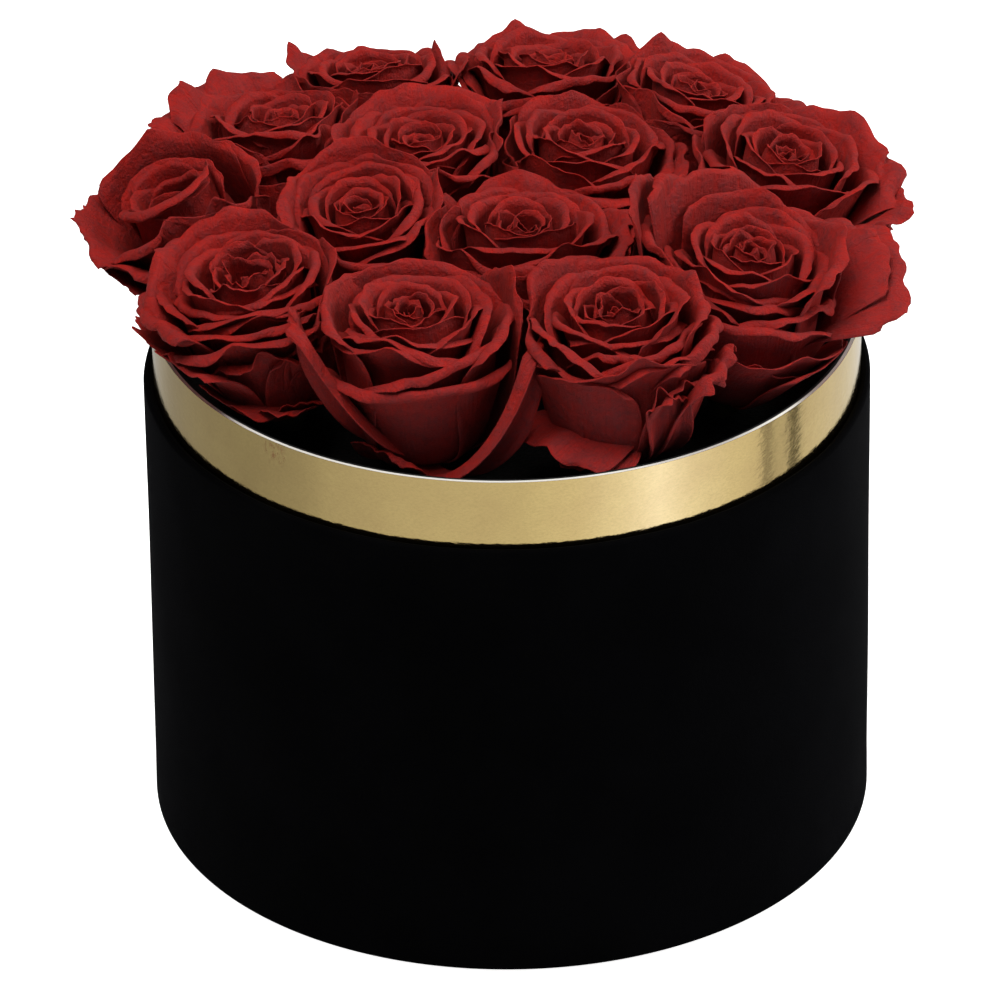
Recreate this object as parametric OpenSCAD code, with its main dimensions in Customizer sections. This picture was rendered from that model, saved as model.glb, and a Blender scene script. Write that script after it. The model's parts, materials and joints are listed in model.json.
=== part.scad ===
// Round velvet flower box with a gold neck, planted with cut roses in dry foam.
// Millimetres, +Z up, origin at the centre of the face it stands on, front towards -Y.

/* [Box] */
// Outside diameter over the velvet
box_d = 220; // [205:1:240]
// Height of the velvet-covered wall
wall_h = 147; // [140:1:165]
// Thickness of the outer tube's board
wall_board_t = 1.6; // [1.2:0.1:2.4]
// Thickness of the velvet with its backing
velvet_t = 0.6; // [0.4:0.1:1]
// Velvet turned in over the rim, down the inside
rim_turn_in = 14; // [8:1:20]
// Velvet turned under the base
hem_w = 12; // [8:1:18]
// Thickness of the base board
base_board_t = 2; // [1.5:0.1:3]
// Thickness of the paper under the base and of the linings
paper_t = 0.3; // [0.2:0.05:0.5]
// Bare ring between the base paper's edge and the wall
base_paper_inset = 5; // [3:0.5:8]

/* [Neck] */
// Height of the gold neck above the velvet rim
neck_reveal = 22; // [16:1:30]
// Thickness of the neck tube's board
neck_board_t = 1.8; // [1.4:0.1:2.4]
// Thickness of the gold foil paper
foil_t = 0.2; // [0.1:0.05:0.3]
// Foil carried on down behind the velvet
foil_tuck = 16; // [10:1:24]
// Width of the foil's lapped seam
foil_lap = 9; // [5:1:15]

/* [Foam] */
// Depth of the foam's top below the neck's edge
foam_drop = 20; // [16:1:24]
// Height of a foam brick, which the upper layer uses whole
brick_h = 80; // [60:1:90]

/* [Roses] */
// Diameter of a stem
stem_d = 5; // [4:0.1:6]
// Length of stem pushed into the foam
stem_depth = 40; // [30:1:46]
// Height of the hip that carries the petals
hip_h = 7; // [6:0.5:9]
// Height of a bloom from its hip to the petals' edges
bloom_h = 52; // [44:1:56]
// Lean of the roses that lean most, out over the neck
edge_lean = 21; // [0:1:24]
// Thickness of a petal
petal_t = 0.42; // [0.3:0.01:0.44]
// Gap between the blooms of two roses
bloom_gap = 0.8; // [0.6:0.1:3]
// How far an outer rose's last petal hangs out past its bloom
overhang = 11; // [0:0.5:13]

/* [Hidden] */
$fn = 96;
// Clearances: glued board on board, foam in its lining, stem in its hole, hip over foam
fit_gap = 0.1;
foam_gap = 0.3;
stem_gap = 0.05;
hip_gap = 0.2;

box_r = box_d / 2;
wall_out_r = box_r - velvet_t;
wall_in_r = wall_out_r - wall_board_t;
foil_out_r = wall_in_r - velvet_t - fit_gap;
neck_out_r = foil_out_r - foil_t;
neck_in_r = neck_out_r - neck_board_t;
lining_in_r = neck_in_r - paper_t;
foam_r = lining_in_r - foam_gap;

hem_z = paper_t;
board_z = hem_z + velvet_t;
floor_z = board_z + base_board_t;
neck_top = wall_h + neck_reveal;
foam_top = neck_top - foam_drop;
foam_split = foam_top - brick_h;
seam_gap = 0.2;
rim_round = 1.2;

// The planting plan, drawn for a foam 104 mm in radius and scaled to the real one. Each rose:
// its bloom's centre x and y, the bloom's radius, the turn of its last petal from the way out
// of the box, and its lean in x and y as shares of edge_lean. The two roses at the front stand
// upright. The others fan out from them, so that each can be drawn past its neighbours.
plan_r = 104;
PLAN = [
    [-77, -40, 30, 0, -0.65, -0.05],
    [-25, -66, 34, 40, 0, 0],
    [33, -67, 32, -30, 0, 0],
    [76, -34, 37, 0, 0.6, 0],
    [-98, 16, 29, 0, -0.85, 0.15],
    [-43, -6, 28, 100, -0.3, 0],
    [5, -15, 33, 200, 0, 0],
    [88, 29, 31, 0, 0.85, 0.25],
    [-73, 54, 30, 0, -0.65, 0.5],
    [-25, 35, 28, 310, -0.15, 0.3],
    [25, 36, 30, 20, 0.2, 0.3],
    [61, 70, 29, 0, 0.55, 0.7],
    [-40, 88, 28, 0, -0.35, 0.8],
    [14, 90, 29, 0, 0.1, 0.85]
];
plan_scale = foam_r / plan_r;
rose_count = len(PLAN);
// Blooms further out than this share of the plan's radius make up the outer ring
outer_ring = 0.6;

function rose_name(i) = str("rose_", i < 10 ? "0" : "", i);

// ---- Box ----

module ring(r_out, r_in, z, h) {
    translate([0, 0, z]) difference() {
        cylinder(r = r_out, h = h);
        translate([0, 0, -1]) cylinder(r = r_in, h = h + 2);
    }
}

module disc(r, z, h) {
    translate([0, 0, z]) cylinder(r = r, h = h);
}

module base_paper() {
    color("#1a1a1c") disc(box_r - base_paper_inset, 0, paper_t);
}

// Points of a quarter circle, from angle a to angle a + 90
function quarter(cx, cy, r, a, steps = 6) =
    [for (i = [0 : steps]) [cx + r * cos(a + 90 * i / steps), cy + r * sin(a + 90 * i / steps)]];

// The velvet's section: hem under the base, wall, rounded rim and the turn-in behind it
module velvet_section() {
    inner_r = wall_in_r - velvet_t;
    crest_r = min(rim_round, (box_r - inner_r) / 2);
    foot_r = velvet_t;
    polygon(concat(
        [[box_r - hem_w, hem_z + velvet_t], [box_r - hem_w, hem_z]],
        quarter(box_r - foot_r, hem_z + foot_r, foot_r, 270),
        quarter(box_r - crest_r, wall_h - crest_r, crest_r, 0),
        quarter(inner_r + crest_r, wall_h - crest_r, crest_r, 90),
        [[inner_r, wall_h - rim_turn_in], [wall_in_r, wall_h - rim_turn_in],
         [wall_in_r, wall_h - velvet_t], [wall_out_r, wall_h - velvet_t],
         [wall_out_r, hem_z + velvet_t]]
    ));
}

// The wrap is one strip, butted at the back
module velvet_wrap() {
    color("#070708") difference() {
        rotate_extrude() velvet_section();
        translate([-seam_gap / 2, wall_in_r - hem_w, -1]) cube([seam_gap, 2 * hem_w, wall_h + 2]);
    }
}

module outer_tube() {
    color("#8d8478") ring(wall_out_r, wall_in_r, board_z, wall_h - velvet_t - board_z);
}

module base_board() {
    color("#8d8478") disc(wall_in_r - fit_gap, board_z, base_board_t);
}

module neck_tube() {
    color("#f1efe9") ring(neck_out_r, neck_in_r, floor_z, neck_top - floor_z);
}

// Foil paper round the neck, with its ends lapped at the back
module gold_foil_band() {
    foil_z = wall_h - foil_tuck;
    lap_a = foil_lap / foil_out_r * 180 / PI;
    // The lap's outer end is bedded this far out from the board, in the end under it
    foil_bed = 0.4 * foil_t;
    color("#c9ad6a") union() {
        ring(neck_out_r + foil_t / 2, neck_out_r, foil_z, neck_top - foil_z);
        translate([0, 0, foil_z]) rotate([0, 0, 90 - lap_a / 2]) rotate_extrude(angle = lap_a)
            translate([neck_out_r + foil_bed, 0]) square([foil_t - foil_bed, neck_top - foil_z]);
    }
}

module neck_lining() {
    lining_z = floor_z + paper_t;
    color("#101011") ring(neck_in_r, lining_in_r, lining_z, neck_top - lining_z - paper_t);
}

module floor_lining() {
    color("#101011") disc(neck_in_r, floor_z, paper_t);
}

// ---- Foam ----

// Half of a round layer of foam, cut straight through the middle; side turns it about Z
module half_round(z, h, side) {
    translate([0, 0, z]) rotate([0, 0, side]) intersection() {
        cylinder(r = foam_r, h = h);
        translate([-box_r, seam_gap / 2, -1]) cube([box_d, box_r, h + 2]);
    }
}

module foam_lower(side) {
    lower_z = floor_z + paper_t;
    color("#20211f") half_round(lower_z, foam_split - lower_z, side);
}

module foam_upper(side) {
    color("#20211f") difference() {
        half_round(foam_split, brick_h, side);
        for (rose = PLAN) place(rose) stem_hole();
    }
}

// ---- Roses ----

// The hip's foot is this much wider than the stem
foot_r = stem_d / 2 + 0.7;
// The hip's top, where the petals stand, and the radius of the first petal's foot
seat_r = 7.6;
first_r = 2;
// Height above the hip at which a bloom has its plan position
heart_h = bloom_h - 3;

function plan_dist(rose) = norm([rose[0], rose[1]]);
function way_of(rose) = atan2(rose[1], rose[0]);
// How far the top of a rose one unit high leans out over its foot, in x and y
function lean_xy(rose) = sin(edge_lean) * [rose[4], rose[5]];
function lean_of(rose) = asin(norm(lean_xy(rose)));
function lean_way(rose) = norm(lean_xy(rose)) == 0 ? way_of(rose) : atan2(rose[5], rose[4]);
function bloom_r_of(rose) = rose[2] * plan_scale;
function is_outer(rose) = plan_dist(rose) > outer_ring * plan_r;

// A rose's own axes: the way it leans, sideways, and up along its stem
function axes_of(rose) = let (lean = lean_of(rose), way = lean_way(rose)) [
    [cos(lean) * cos(way), cos(lean) * sin(way), -sin(lean)],
    [-sin(way), cos(way), 0],
    [sin(lean) * cos(way), sin(lean) * sin(way), cos(lean)]
];

// Foot of the hip, set back from the bloom's centre along the lean
function foot_of(rose) = let (
    spot = plan_scale * [rose[0], rose[1]] - (hip_h + heart_h) * lean_xy(rose)
) [spot[0], spot[1], foam_top + foot_r * norm(lean_xy(rose)) + hip_gap];

function centre_of(rose) = foot_of(rose) + (hip_h + heart_h) * axes_of(rose)[2];

module place(rose) {
    translate(foot_of(rose)) rotate([0, lean_of(rose), lean_way(rose)]) children();
}

// A leaning hole, turned about its own line so that its seam clears the ends of its oval mouth
module stem_hole() {
    seam_turn = 57;
    reach = foot_r + stem_d;
    translate([0, 0, -stem_depth - hip_gap]) rotate([0, 0, seam_turn])
        cylinder(d = stem_d + 2 * stem_gap, h = stem_depth + reach);
}

// Stem with a slanting cut, and the hip that the petals stand on
module stem(rose) {
    color("#4a5230") place(rose) union() {
        difference() {
            translate([0, 0, -stem_depth]) cylinder(d = stem_d, h = stem_depth + 1);
            translate([0, 0, -stem_depth]) rotate([0, 35, 0])
                translate([0, 0, -stem_d]) cube([4 * stem_d, 4 * stem_d, 2 * stem_d], center = true);
        }
        rotate_extrude() polygon([
            [0, 0], [foot_r, 0], [foot_r + 1.6, hip_h * 0.3], [seat_r - 0.9, hip_h * 0.7],
            [seat_r, hip_h], [0, hip_h]
        ]);
    }
}

petal_count = 11;
heart_count = 3;
cells = 4;
// Room that each petal further in keeps from the petal outside it where they are pressed flat
petal_step = petal_t + 0.16;
// A bloom clears the neck's edge along a slope this far from upright
flare = 45;
reach_max = 90;

function unit(v) = v / norm(v);
function dot_all(v, rows) = [for (row = rows) v * row];
function mix(a, b, s) = a + (b - a) * s;
function bezier(p, t) =
    pow(1 - t, 3) * p[0] + 3 * t * pow(1 - t, 2) * p[1] + 3 * t * t * (1 - t) * p[2] + pow(t, 3) * p[3];
function bezier_slope(p, t) =
    3 * (pow(1 - t, 2) * (p[1] - p[0]) + 2 * t * (1 - t) * (p[2] - p[1]) + t * t * (p[3] - p[2]));

// A plane that a rose stays behind, in its own axes: the normal, and how far past it the foot is
function plane_for(rose, through, normal) =
    [dot_all(normal, axes_of(rose)), (foot_of(rose) - through) * normal];

// The plane midway between two roses. It holds the line midway between their stems, so that
// either can be drawn out without crossing it.
function midway(rose, other) = let (
    apart = centre_of(other) - centre_of(rose),
    along = unit(axes_of(rose)[2] + axes_of(other)[2]),
    normal = unit(apart - (apart * along) * along)
) plane_for(rose, centre_of(rose) + apart / 2 - normal * bloom_gap / 2, normal);

// A plane that touches the neck's edge in direction a and slopes outward above it
function over_edge(rose, a) = plane_for(
    rose, [lining_in_r * cos(a), lining_in_r * sin(a), neck_top] - bloom_gap * [cos(a), sin(a), 0],
    [cos(flare) * cos(a), cos(flare) * sin(a), -sin(flare)]
);

// Every plane round a rose: blooms press flat against their neighbours and the neck
function planes_of(rose) = concat(
    [for (other = PLAN) if (other != rose && norm(centre_of(other) - centre_of(rose)) < reach_max)
        midway(rose, other)],
    [for (a = [-32 : 8 : 32]) over_edge(rose, way_of(rose) + a)]
);

// Point p pushed back behind each plane in turn, by at least the margin
function pressed(p, planes, margin, i = 0) = i == len(planes) ? p : pressed(
    p - max(0, p * planes[i][0] + planes[i][1] + margin) * planes[i][0], planes, margin, i + 1
);

// A petal's line from foot to edge as [radius, height]; s runs from the heart, 0, to the outside, 1.
// The heart's petals close over it, and the outside ones open as a bowl with a rolled edge.
function petal_line(s, edge_r) = let (crest = 0.2 * bloom_h * sin(180 * s)) [
    mix([first_r, 0], [seat_r - 0.6, 0], s),
    mix([5, 0.25 * bloom_h], [1.05 * edge_r, 0.06 * bloom_h], s),
    mix([10, 0.62 * bloom_h], [0.8 * edge_r, 0.86 * bloom_h + crest], s),
    mix([3.6, 0.93 * bloom_h], [edge_r, 0.82 * bloom_h + crest], s)
];

// Half the angle that a petal takes up round its bloom
function petal_spread(s) = mix(80, 52, s);

// A point on a petal's outside (deep = 0) or inside (deep = 1). u runs across it, v up it.
function petal_point(line, spread, turn, u, v, deep) = let (
    t = v * (1 - 0.2 * u * u),
    slope = bezier_slope(line, t),
    inward = [-slope[1], slope[0]] / norm(slope),
    q = bezier(line, t) + deep * petal_t * inward,
    a = turn + u * spread * (0.75 + 0.25 * sin(180 * v))
) [q[0] * cos(a), q[0] * sin(a), hip_h + q[1]];

// Petal k of a rose: its points, the outside first and then the inside
function petal_points(rose, planes, k) = let (
    s = k / (petal_count - 1),
    out = k == petal_count - 1 && is_outer(rose) ? overhang : 0,
    line = petal_line(s, bloom_r_of(rose) + out),
    turn = rose[3] + way_of(rose) - lean_way(rose) + (k - petal_count + 1) * 137.5,
    margin = (petal_count - 1 - k) * petal_step
) [for (deep = [0, 1], j = [0 : cells], i = [0 : cells]) let (
    p = petal_point(line, petal_spread(s), turn, 2 * i / cells - 1, j / cells, deep),
    once = pressed(p, planes, margin + deep * petal_t)
) pressed(once, planes, margin + deep * petal_t)];

function grid(i, j, deep) = deep * pow(cells + 1, 2) + j * (cells + 1) + i;

// The faces of one petal: both skins in triangles, and the four edges between them
petal_faces = concat(
    [for (j = [0 : cells - 1], i = [0 : cells - 1]) each [
        [grid(i, j, 0), grid(i + 1, j + 1, 0), grid(i + 1, j, 0)],
        [grid(i, j, 0), grid(i, j + 1, 0), grid(i + 1, j + 1, 0)],
        [grid(i, j, 1), grid(i + 1, j, 1), grid(i + 1, j + 1, 1)],
        [grid(i, j, 1), grid(i + 1, j + 1, 1), grid(i, j + 1, 1)]
    ]],
    [for (i = [0 : cells - 1]) each [
        [grid(i, 0, 0), grid(i + 1, 0, 0), grid(i + 1, 0, 1)],
        [grid(i, 0, 0), grid(i + 1, 0, 1), grid(i, 0, 1)],
        [grid(i, cells, 0), grid(i + 1, cells, 1), grid(i + 1, cells, 0)],
        [grid(i, cells, 0), grid(i, cells, 1), grid(i + 1, cells, 1)],
        [grid(0, i, 0), grid(0, i + 1, 1), grid(0, i + 1, 0)],
        [grid(0, i, 0), grid(0, i, 1), grid(0, i + 1, 1)],
        [grid(cells, i, 0), grid(cells, i + 1, 0), grid(cells, i + 1, 1)],
        [grid(cells, i, 0), grid(cells, i + 1, 1), grid(cells, i, 1)]
    ]]
);

// Petals first to last of a rose, as one polyhedron of separate closed shells
module petals(rose, first, last) {
    shell = 2 * pow(cells + 1, 2);
    planes = planes_of(rose);
    polyhedron(
        points = [for (k = [first : last]) each petal_points(rose, planes, k)],
        faces = [for (k = [0 : last - first], f = petal_faces) [for (p = f) p + k * shell]],
        convexity = 10
    );
}

// The rolled core inside the first petal
module core() {
    line = petal_line(0, 0);
    steps = 8;
    inset = petal_t + 0.3;
    rotate_extrude() polygon(concat(
        [[0, hip_h]],
        [for (i = [0 : steps]) let (q = bezier(line, i / steps)) [q[0] - inset, hip_h + q[1]]],
        [[0, hip_h + line[3][1] - 1.5]]
    ));
}

module heart(rose) {
    color("#7d0f14") place(rose) {
        core();
        petals(rose, 0, heart_count - 1);
    }
}

module outer_petals(rose) {
    color("#8a1216") place(rose) petals(rose, heart_count, petal_count - 1);
}

// ---- Nodes ----

base_paper();
velvet_wrap();
outer_tube();
base_board();
neck_tube();
gold_foil_band();
neck_lining();
floor_lining();
foam_lower(90);  // foam_lower_left
foam_lower(270);  // foam_lower_right
foam_upper(180);  // foam_upper_front
foam_upper(0);  // foam_upper_back
for (i = [1 : rose_count]) {
    stem(PLAN[i - 1]);
    heart(PLAN[i - 1]);
    outer_petals(PLAN[i - 1]);
}
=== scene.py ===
import json
import math
import bpy
import numpy as np
from mathutils import Matrix, Vector


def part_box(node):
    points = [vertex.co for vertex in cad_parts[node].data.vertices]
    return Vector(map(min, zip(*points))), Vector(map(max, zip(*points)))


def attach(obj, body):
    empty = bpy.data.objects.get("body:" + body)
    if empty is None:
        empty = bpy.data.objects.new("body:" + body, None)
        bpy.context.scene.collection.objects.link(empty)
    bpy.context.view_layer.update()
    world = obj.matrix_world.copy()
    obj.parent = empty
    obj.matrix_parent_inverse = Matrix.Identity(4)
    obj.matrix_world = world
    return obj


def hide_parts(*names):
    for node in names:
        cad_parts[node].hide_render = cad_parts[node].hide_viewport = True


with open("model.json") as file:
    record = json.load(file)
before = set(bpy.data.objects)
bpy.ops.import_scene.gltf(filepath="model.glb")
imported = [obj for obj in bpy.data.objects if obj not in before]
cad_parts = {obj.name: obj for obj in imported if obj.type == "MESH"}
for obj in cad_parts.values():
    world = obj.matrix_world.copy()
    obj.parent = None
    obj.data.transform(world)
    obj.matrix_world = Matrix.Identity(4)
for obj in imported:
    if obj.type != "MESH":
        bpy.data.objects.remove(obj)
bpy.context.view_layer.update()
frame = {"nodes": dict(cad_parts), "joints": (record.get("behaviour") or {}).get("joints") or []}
mm = 0.001
fullTurn = 6.3     # radians, for a wave to start anywhere
print("frame loaded:", len(frame["nodes"]), "nodes")


class Val:
    # one socket's value, so that shader maths reads as an expression
    def __init__(self, shade, socket):
        self.shade = shade
        self.socket = socket

    def __add__(self, other):
        return self.shade.math("ADD", self, other)

    def __sub__(self, other):
        return self.shade.math("SUBTRACT", self, other)

    def __rsub__(self, other):
        return self.shade.math("SUBTRACT", other, self)

    def __mul__(self, other):
        return self.shade.math("MULTIPLY", self, other)

    def __truediv__(self, other):
        return self.shade.math("DIVIDE", self, other)

    def __rtruediv__(self, other):
        return self.shade.math("DIVIDE", other, self)

    __radd__ = __add__
    __rmul__ = __mul__


class Shade:
    # one material's nodes, ending in a Principled shader
    def __init__(self, name, fixed):
        self.material = bpy.data.materials.new(name)
        self.material.use_nodes = True
        self.tree = self.material.node_tree
        self.tree.nodes.clear()
        self.shader = self.tree.nodes.new("ShaderNodeBsdfPrincipled")
        out = self.tree.nodes.new("ShaderNodeOutputMaterial")
        self.tree.links.new(self.shader.outputs[0], out.inputs["Surface"])
        for socket, value in fixed.items():  # what is the same all over the surface
            self.shader.inputs[socket].default_value = value

    def feed(self, socket, value):
        if isinstance(value, Val):
            self.tree.links.new(value.socket, socket)
        elif isinstance(value, tuple) and socket.type == "RGBA":
            socket.default_value = (*value[:3], 1)
        else:
            socket.default_value = value

    def node(self, kind, settings, values, output=0):
        made = self.tree.nodes.new(kind)
        for name, value in settings.items():
            if name == "stops":
                ramp = made.color_ramp.elements
                while len(ramp) < len(value):
                    ramp.new(0.5)
                for stop, (place, colour) in zip(ramp, value):
                    stop.position = place
                    stop.color = (*colour, 1) if isinstance(colour, tuple) else (colour,) * 3 + (1,)
            else:
                setattr(made, name, value)
        for name, value in values.items():
            self.feed(made.inputs[name], value)
        return Val(self, made.outputs[output])

    def math(self, operation, a, b=0.0, clamp=False):
        return self.node("ShaderNodeMath", {"operation": operation, "use_clamp": clamp}, {0: a, 1: b})

    def clamped(self, value):
        return self.math("ADD", value, 0.0, True)

    def place(self):
        return self.node("ShaderNodeTexCoord", {}, {}, "Object")

    def uv(self):
        return self.node("ShaderNodeUVMap", {"uv_map": "petal"}, {})

    def parts(self, vector):
        split = self.node("ShaderNodeSeparateXYZ", {}, {0: vector})
        return [Val(self, out) for out in split.socket.node.outputs]

    def joined(self, x, y, z):
        return self.node("ShaderNodeCombineXYZ", {}, {0: x, 1: y, 2: z})

    def noise(self, at, scale, detail=3.0, rough=0.55):
        return self.node("ShaderNodeTexNoise", {}, {"Vector": at, "Scale": scale, "Detail": detail,
                                                   "Roughness": rough})

    def cells(self, at, scale):
        return self.node("ShaderNodeTexVoronoi", {}, {"Vector": at, "Scale": scale}, "Distance")

    def ramp(self, value, stops):
        return self.node("ShaderNodeValToRGB", {"stops": stops}, {0: value})

    def mix(self, share, a, b):
        return self.node("ShaderNodeMix", {"data_type": "RGBA"}, {0: share, 6: a, 7: b}, 2)

    def bump(self, height, strength, distance):
        return self.node("ShaderNodeBump", {}, {"Strength": strength, "Distance": distance, "Height": height})

    def set(self, **sockets):
        names = {"colour": "Base Color", "rough": "Roughness", "normal": "Normal"}
        for key, value in sockets.items():
            self.feed(self.shader.inputs[names[key]], value)
        return self.material


velvetLook = {
    "pile": (0.0004, 0.0004, 0.0005),      # colour down in the pile
    "brushed": (0.0011, 0.0011, 0.0014),   # where the pile lies over
    "sheen": 0.0045,
    "sheenTint": (0.60, 0.64, 0.80, 1),
    "fibre": 2600,                         # fibres to the metre
}


def velvetFinish():
    look = velvetLook
    s = Shade("blackVelvet", {"Sheen Weight": look["sheen"], "Sheen Roughness": 0.45,
                              "Sheen Tint": look["sheenTint"], "Specular IOR Level": 0.02})
    at = s.place()
    brushed = s.ramp(s.noise(at, 26, 4, 0.6), [(0.38, 0.0), (0.68, 1.0)])
    fibre = s.noise(at, look["fibre"], 2, 0.7)
    colour = s.mix(s.clamped(brushed * 0.6 + fibre * 0.5 - 0.12), look["pile"], look["brushed"])
    height = fibre + s.noise(at, 700, 3, 0.6) * 0.5
    return s.set(colour=colour, rough=0.94 - brushed * 0.08, normal=s.bump(height, 0.5, 0.25 * mm))


goldLook = {
    "colour": (0.715, 0.538, 0.222),
    "worn": (0.60, 0.43, 0.185),
    "scuff": (0.42, 0.24, 0.11),
    "scuffTurn": -40,        # degrees from the front
    "scuffSize": 4.8,        # mm
    "scuffDrop": 3.5,        # mm under the neck's edge
    "grain": (0.50, 0.37, 0.145),
    "rough": 0.08,
}


def goldFinish():
    look = goldLook
    s = Shade("goldFoil", {"Metallic": 1.0})
    at = s.place()
    x, y, z = s.parts(at)
    peel = s.noise(s.joined(x, y, z * 2.6), 300, 3, 0.55)    # the board's grain telegraphing through
    ripple = s.noise(s.joined(x, y, z * 0.3), 80, 3, 0.5)    # long soft ripples up the neck
    cloud = s.noise(at, 60, 3, 0.6)
    colour = s.mix(s.clamped(cloud * 1.6 - 0.55), look["colour"], look["worn"])
    grain = s.noise(s.joined(x, y, z * 1.9), 1000, 3, 0.6)
    colour = s.mix(s.clamped(grain * 3.2 - 1.3) * 0.34, colour, look["grain"])
    # a few rubbed marks under the neck's edge
    turn, edge = math.radians(look["scuffTurn"]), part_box("gold_foil_band")[1]
    spot = [edge.x * math.sin(turn), -edge.x * math.cos(turn), edge.z - look["scuffDrop"] * mm]
    near = sum(((c - o) * (c - o) for c, o in zip((x, y, z), spot)), 0.0)
    marks = s.noise(s.joined(x, y, z * 0.4), 900, 3, 0.6) * 5 - 2.3
    marks = s.clamped(marks) * s.clamped(1.2 - near / (look["scuffSize"] * mm) ** 2)
    colour = s.mix(marks, colour, look["scuff"])
    rough = look["rough"] + cloud * 0.05 + marks * 0.5
    height = peel * 0.8 + ripple * 0.45 + grain * 0.15
    return s.set(colour=colour, rough=rough, normal=s.bump(height, 0.14, 0.6 * mm))


boardLook = {
    "face": (0.84, 0.82, 0.76),
    "shade": (0.45, 0.42, 0.36),
    "lap": 1.0,              # how much of the neck's cut edge shows white
}


def boardFinish(name, face, shade):
    s = Shade(name, {"Specular IOR Level": 0.2})
    at = s.place()
    flecks = s.noise(at, 1800, 3, 0.7)
    layers = s.noise(at, 300, 4, 0.6)
    colour = s.mix(s.clamped(flecks * 0.5 + layers * 0.6 - 0.35), face, shade)
    return s.set(colour=colour, rough=0.75 + flecks * 0.2, normal=s.bump(flecks, 0.35, 0.2 * mm))


def neckBoardFinish():
    # white board, its cut edge coloured near-black except for a strip along its outside
    s = Shade("neckBoard", {"Specular IOR Level": 0.2})
    x, y, _ = s.parts(s.place())
    flecks = s.noise(s.place(), 1800, 3, 0.7)
    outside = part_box("neck_tube")[1].x - boardLook["lap"] * mm
    shown = s.math("GREATER_THAN", x * x + y * y, outside ** 2)
    white = s.mix(flecks * 0.3, boardLook["face"], boardLook["shade"])
    colour = s.mix(shown, (0.006, 0.006, 0.006), white)
    return s.set(colour=colour, rough=0.75 + flecks * 0.2, normal=s.bump(flecks, 0.35, 0.2 * mm))


def blackPaperFinish():
    s = Shade("blackPaper", {"Specular IOR Level": 0.2})
    at = s.place()
    grain = s.noise(at, 1400, 4, 0.65)
    colour = s.mix(grain, (0.003, 0.003, 0.003), (0.009, 0.009, 0.009))
    return s.set(colour=colour, rough=0.8 + grain * 0.15, normal=s.bump(grain, 0.3, 0.1 * mm))


def foamFinish():
    # near-black foam; its dark colour also stands in for the shade down between the blooms
    s = Shade("dryFoam", {"Specular IOR Level": 0.1})
    at = s.place()
    cell = s.cells(at, 900)
    cloud = s.noise(at, 70, 4, 0.6)
    colour = s.mix(s.clamped(cell * 0.8 + cloud * 0.3), (0.002, 0.002, 0.002), (0.012, 0.011, 0.010))
    return s.set(colour=colour, rough=0.95 - cell * 0.05, normal=s.bump(cell + cloud * 0.6, 0.8, 0.6 * mm))


def stemFinish():
    s = Shade("preservedStem", {"Specular IOR Level": 0.3})
    at = s.place()
    x, y, z = s.parts(at)
    streak = s.noise(s.joined(x, y, z * 0.12), 900, 4, 0.6)
    blotch = s.noise(at, 160, 3, 0.5)
    colour = s.mix(s.clamped(streak * 0.7 + blotch * 0.5 - 0.2), (0.030, 0.042, 0.014), (0.085, 0.062, 0.026))
    return s.set(colour=colour, rough=0.55 + blotch * 0.3, normal=s.bump(streak, 0.5, 0.3 * mm))


dustyShift = 400
petalLook = {
    "deep": (0.084, 0.0210, 0.0240),   # painted shade down at the foot; also the darker veins and blotches
    "body": (0.372, 0.0078, 0.0036),
    "edge": (0.405, 0.0088, 0.0042),   # painted highlight, lighter along the rolled rim
    "dust": (0.36, 0.055, 0.050),      # dry bloom on the outsides
}


def petalFinish(name, darker):
    look = petalLook
    s = Shade(name, {"Sheen Weight": 0.05, "Sheen Roughness": 0.5, "Sheen Tint": (1.0, 0.19, 0.12, 1),
                     "Specular IOR Level": 0.17})
    at = s.place()
    across, along, _ = s.parts(s.uv())
    aged = s.math("GREATER_THAN", across, dustyShift / 2)   # petals numbered far off are the dusty ones
    veins = s.noise(s.joined(across * 26, along * 2.2, 0.0), 1.6, 4, 0.62)
    cloud = s.noise(at, 150, 5, 0.62)
    crease = s.noise(at, 480, 4, 0.6)
    nap = s.noise(at, 1500, 3, 0.65)
    # painted shade: the petal darkens towards its foot, full colour from 0.62 of the way up
    rise = s.ramp(along, [(0.0, 0.0), (0.62, 1.0)])
    rim = s.ramp(along, [(0.84, 0.0), (0.97, 1.0)])
    dust = s.ramp(s.noise(at, 55, 3, 0.5), [(0.56, 0.0), (0.78, 1.0)])
    body = s.mix(rise, look["deep"], look["body"])
    body = s.mix(s.clamped(veins * 1.4 - 0.45) * 0.5, body, look["deep"])
    # painted highlight: the rolled rim lightened towards the edge colour
    body = s.mix(rim * 0.7, body, look["edge"])
    body = s.mix(dust * (1 - rim) * 0.10, body, look["dust"])
    threads = s.noise(s.joined(across * 110, along * 3.4, 0.0), 2.0, 3, 0.7)
    streaks = s.clamped(s.noise(s.joined(across * 40, along * 3.0, 0.0), 2.2, 4, 0.7) * 2.4 - 0.95)
    body = s.mix(aged * streaks * s.clamped(cloud * 2 - 0.5) * 0.42, body, look["dust"])
    blotch = s.clamped(cloud * 1.8 + crease * 1.4 + nap * 1.1 + threads * 0.7 - 2.15)
    colour = s.mix(blotch * darker, body, look["deep"])
    height = veins * 0.5 + nap * 0.26 + crease * 0.55 + cloud * 0.8 + threads * 0.12
    return s.set(colour=colour, rough=0.60 + cloud * 0.25, normal=s.bump(height, 0.95, 1.3 * mm))


finishes = {
    "velvet": velvetFinish(),
    "gold": goldFinish(),
    "neckBoard": neckBoardFinish(),
    "greyBoard": boardFinish("greyBoard", (0.30, 0.27, 0.23), (0.18, 0.16, 0.13)),
    "paper": blackPaperFinish(),
    "foam": foamFinish(),
    "stem": stemFinish(),
    "heart": petalFinish("heartPetal", 0.62),
    "petal": petalFinish("outerPetal", 0.64),
}
print("finishes made:", len(finishes))

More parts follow.
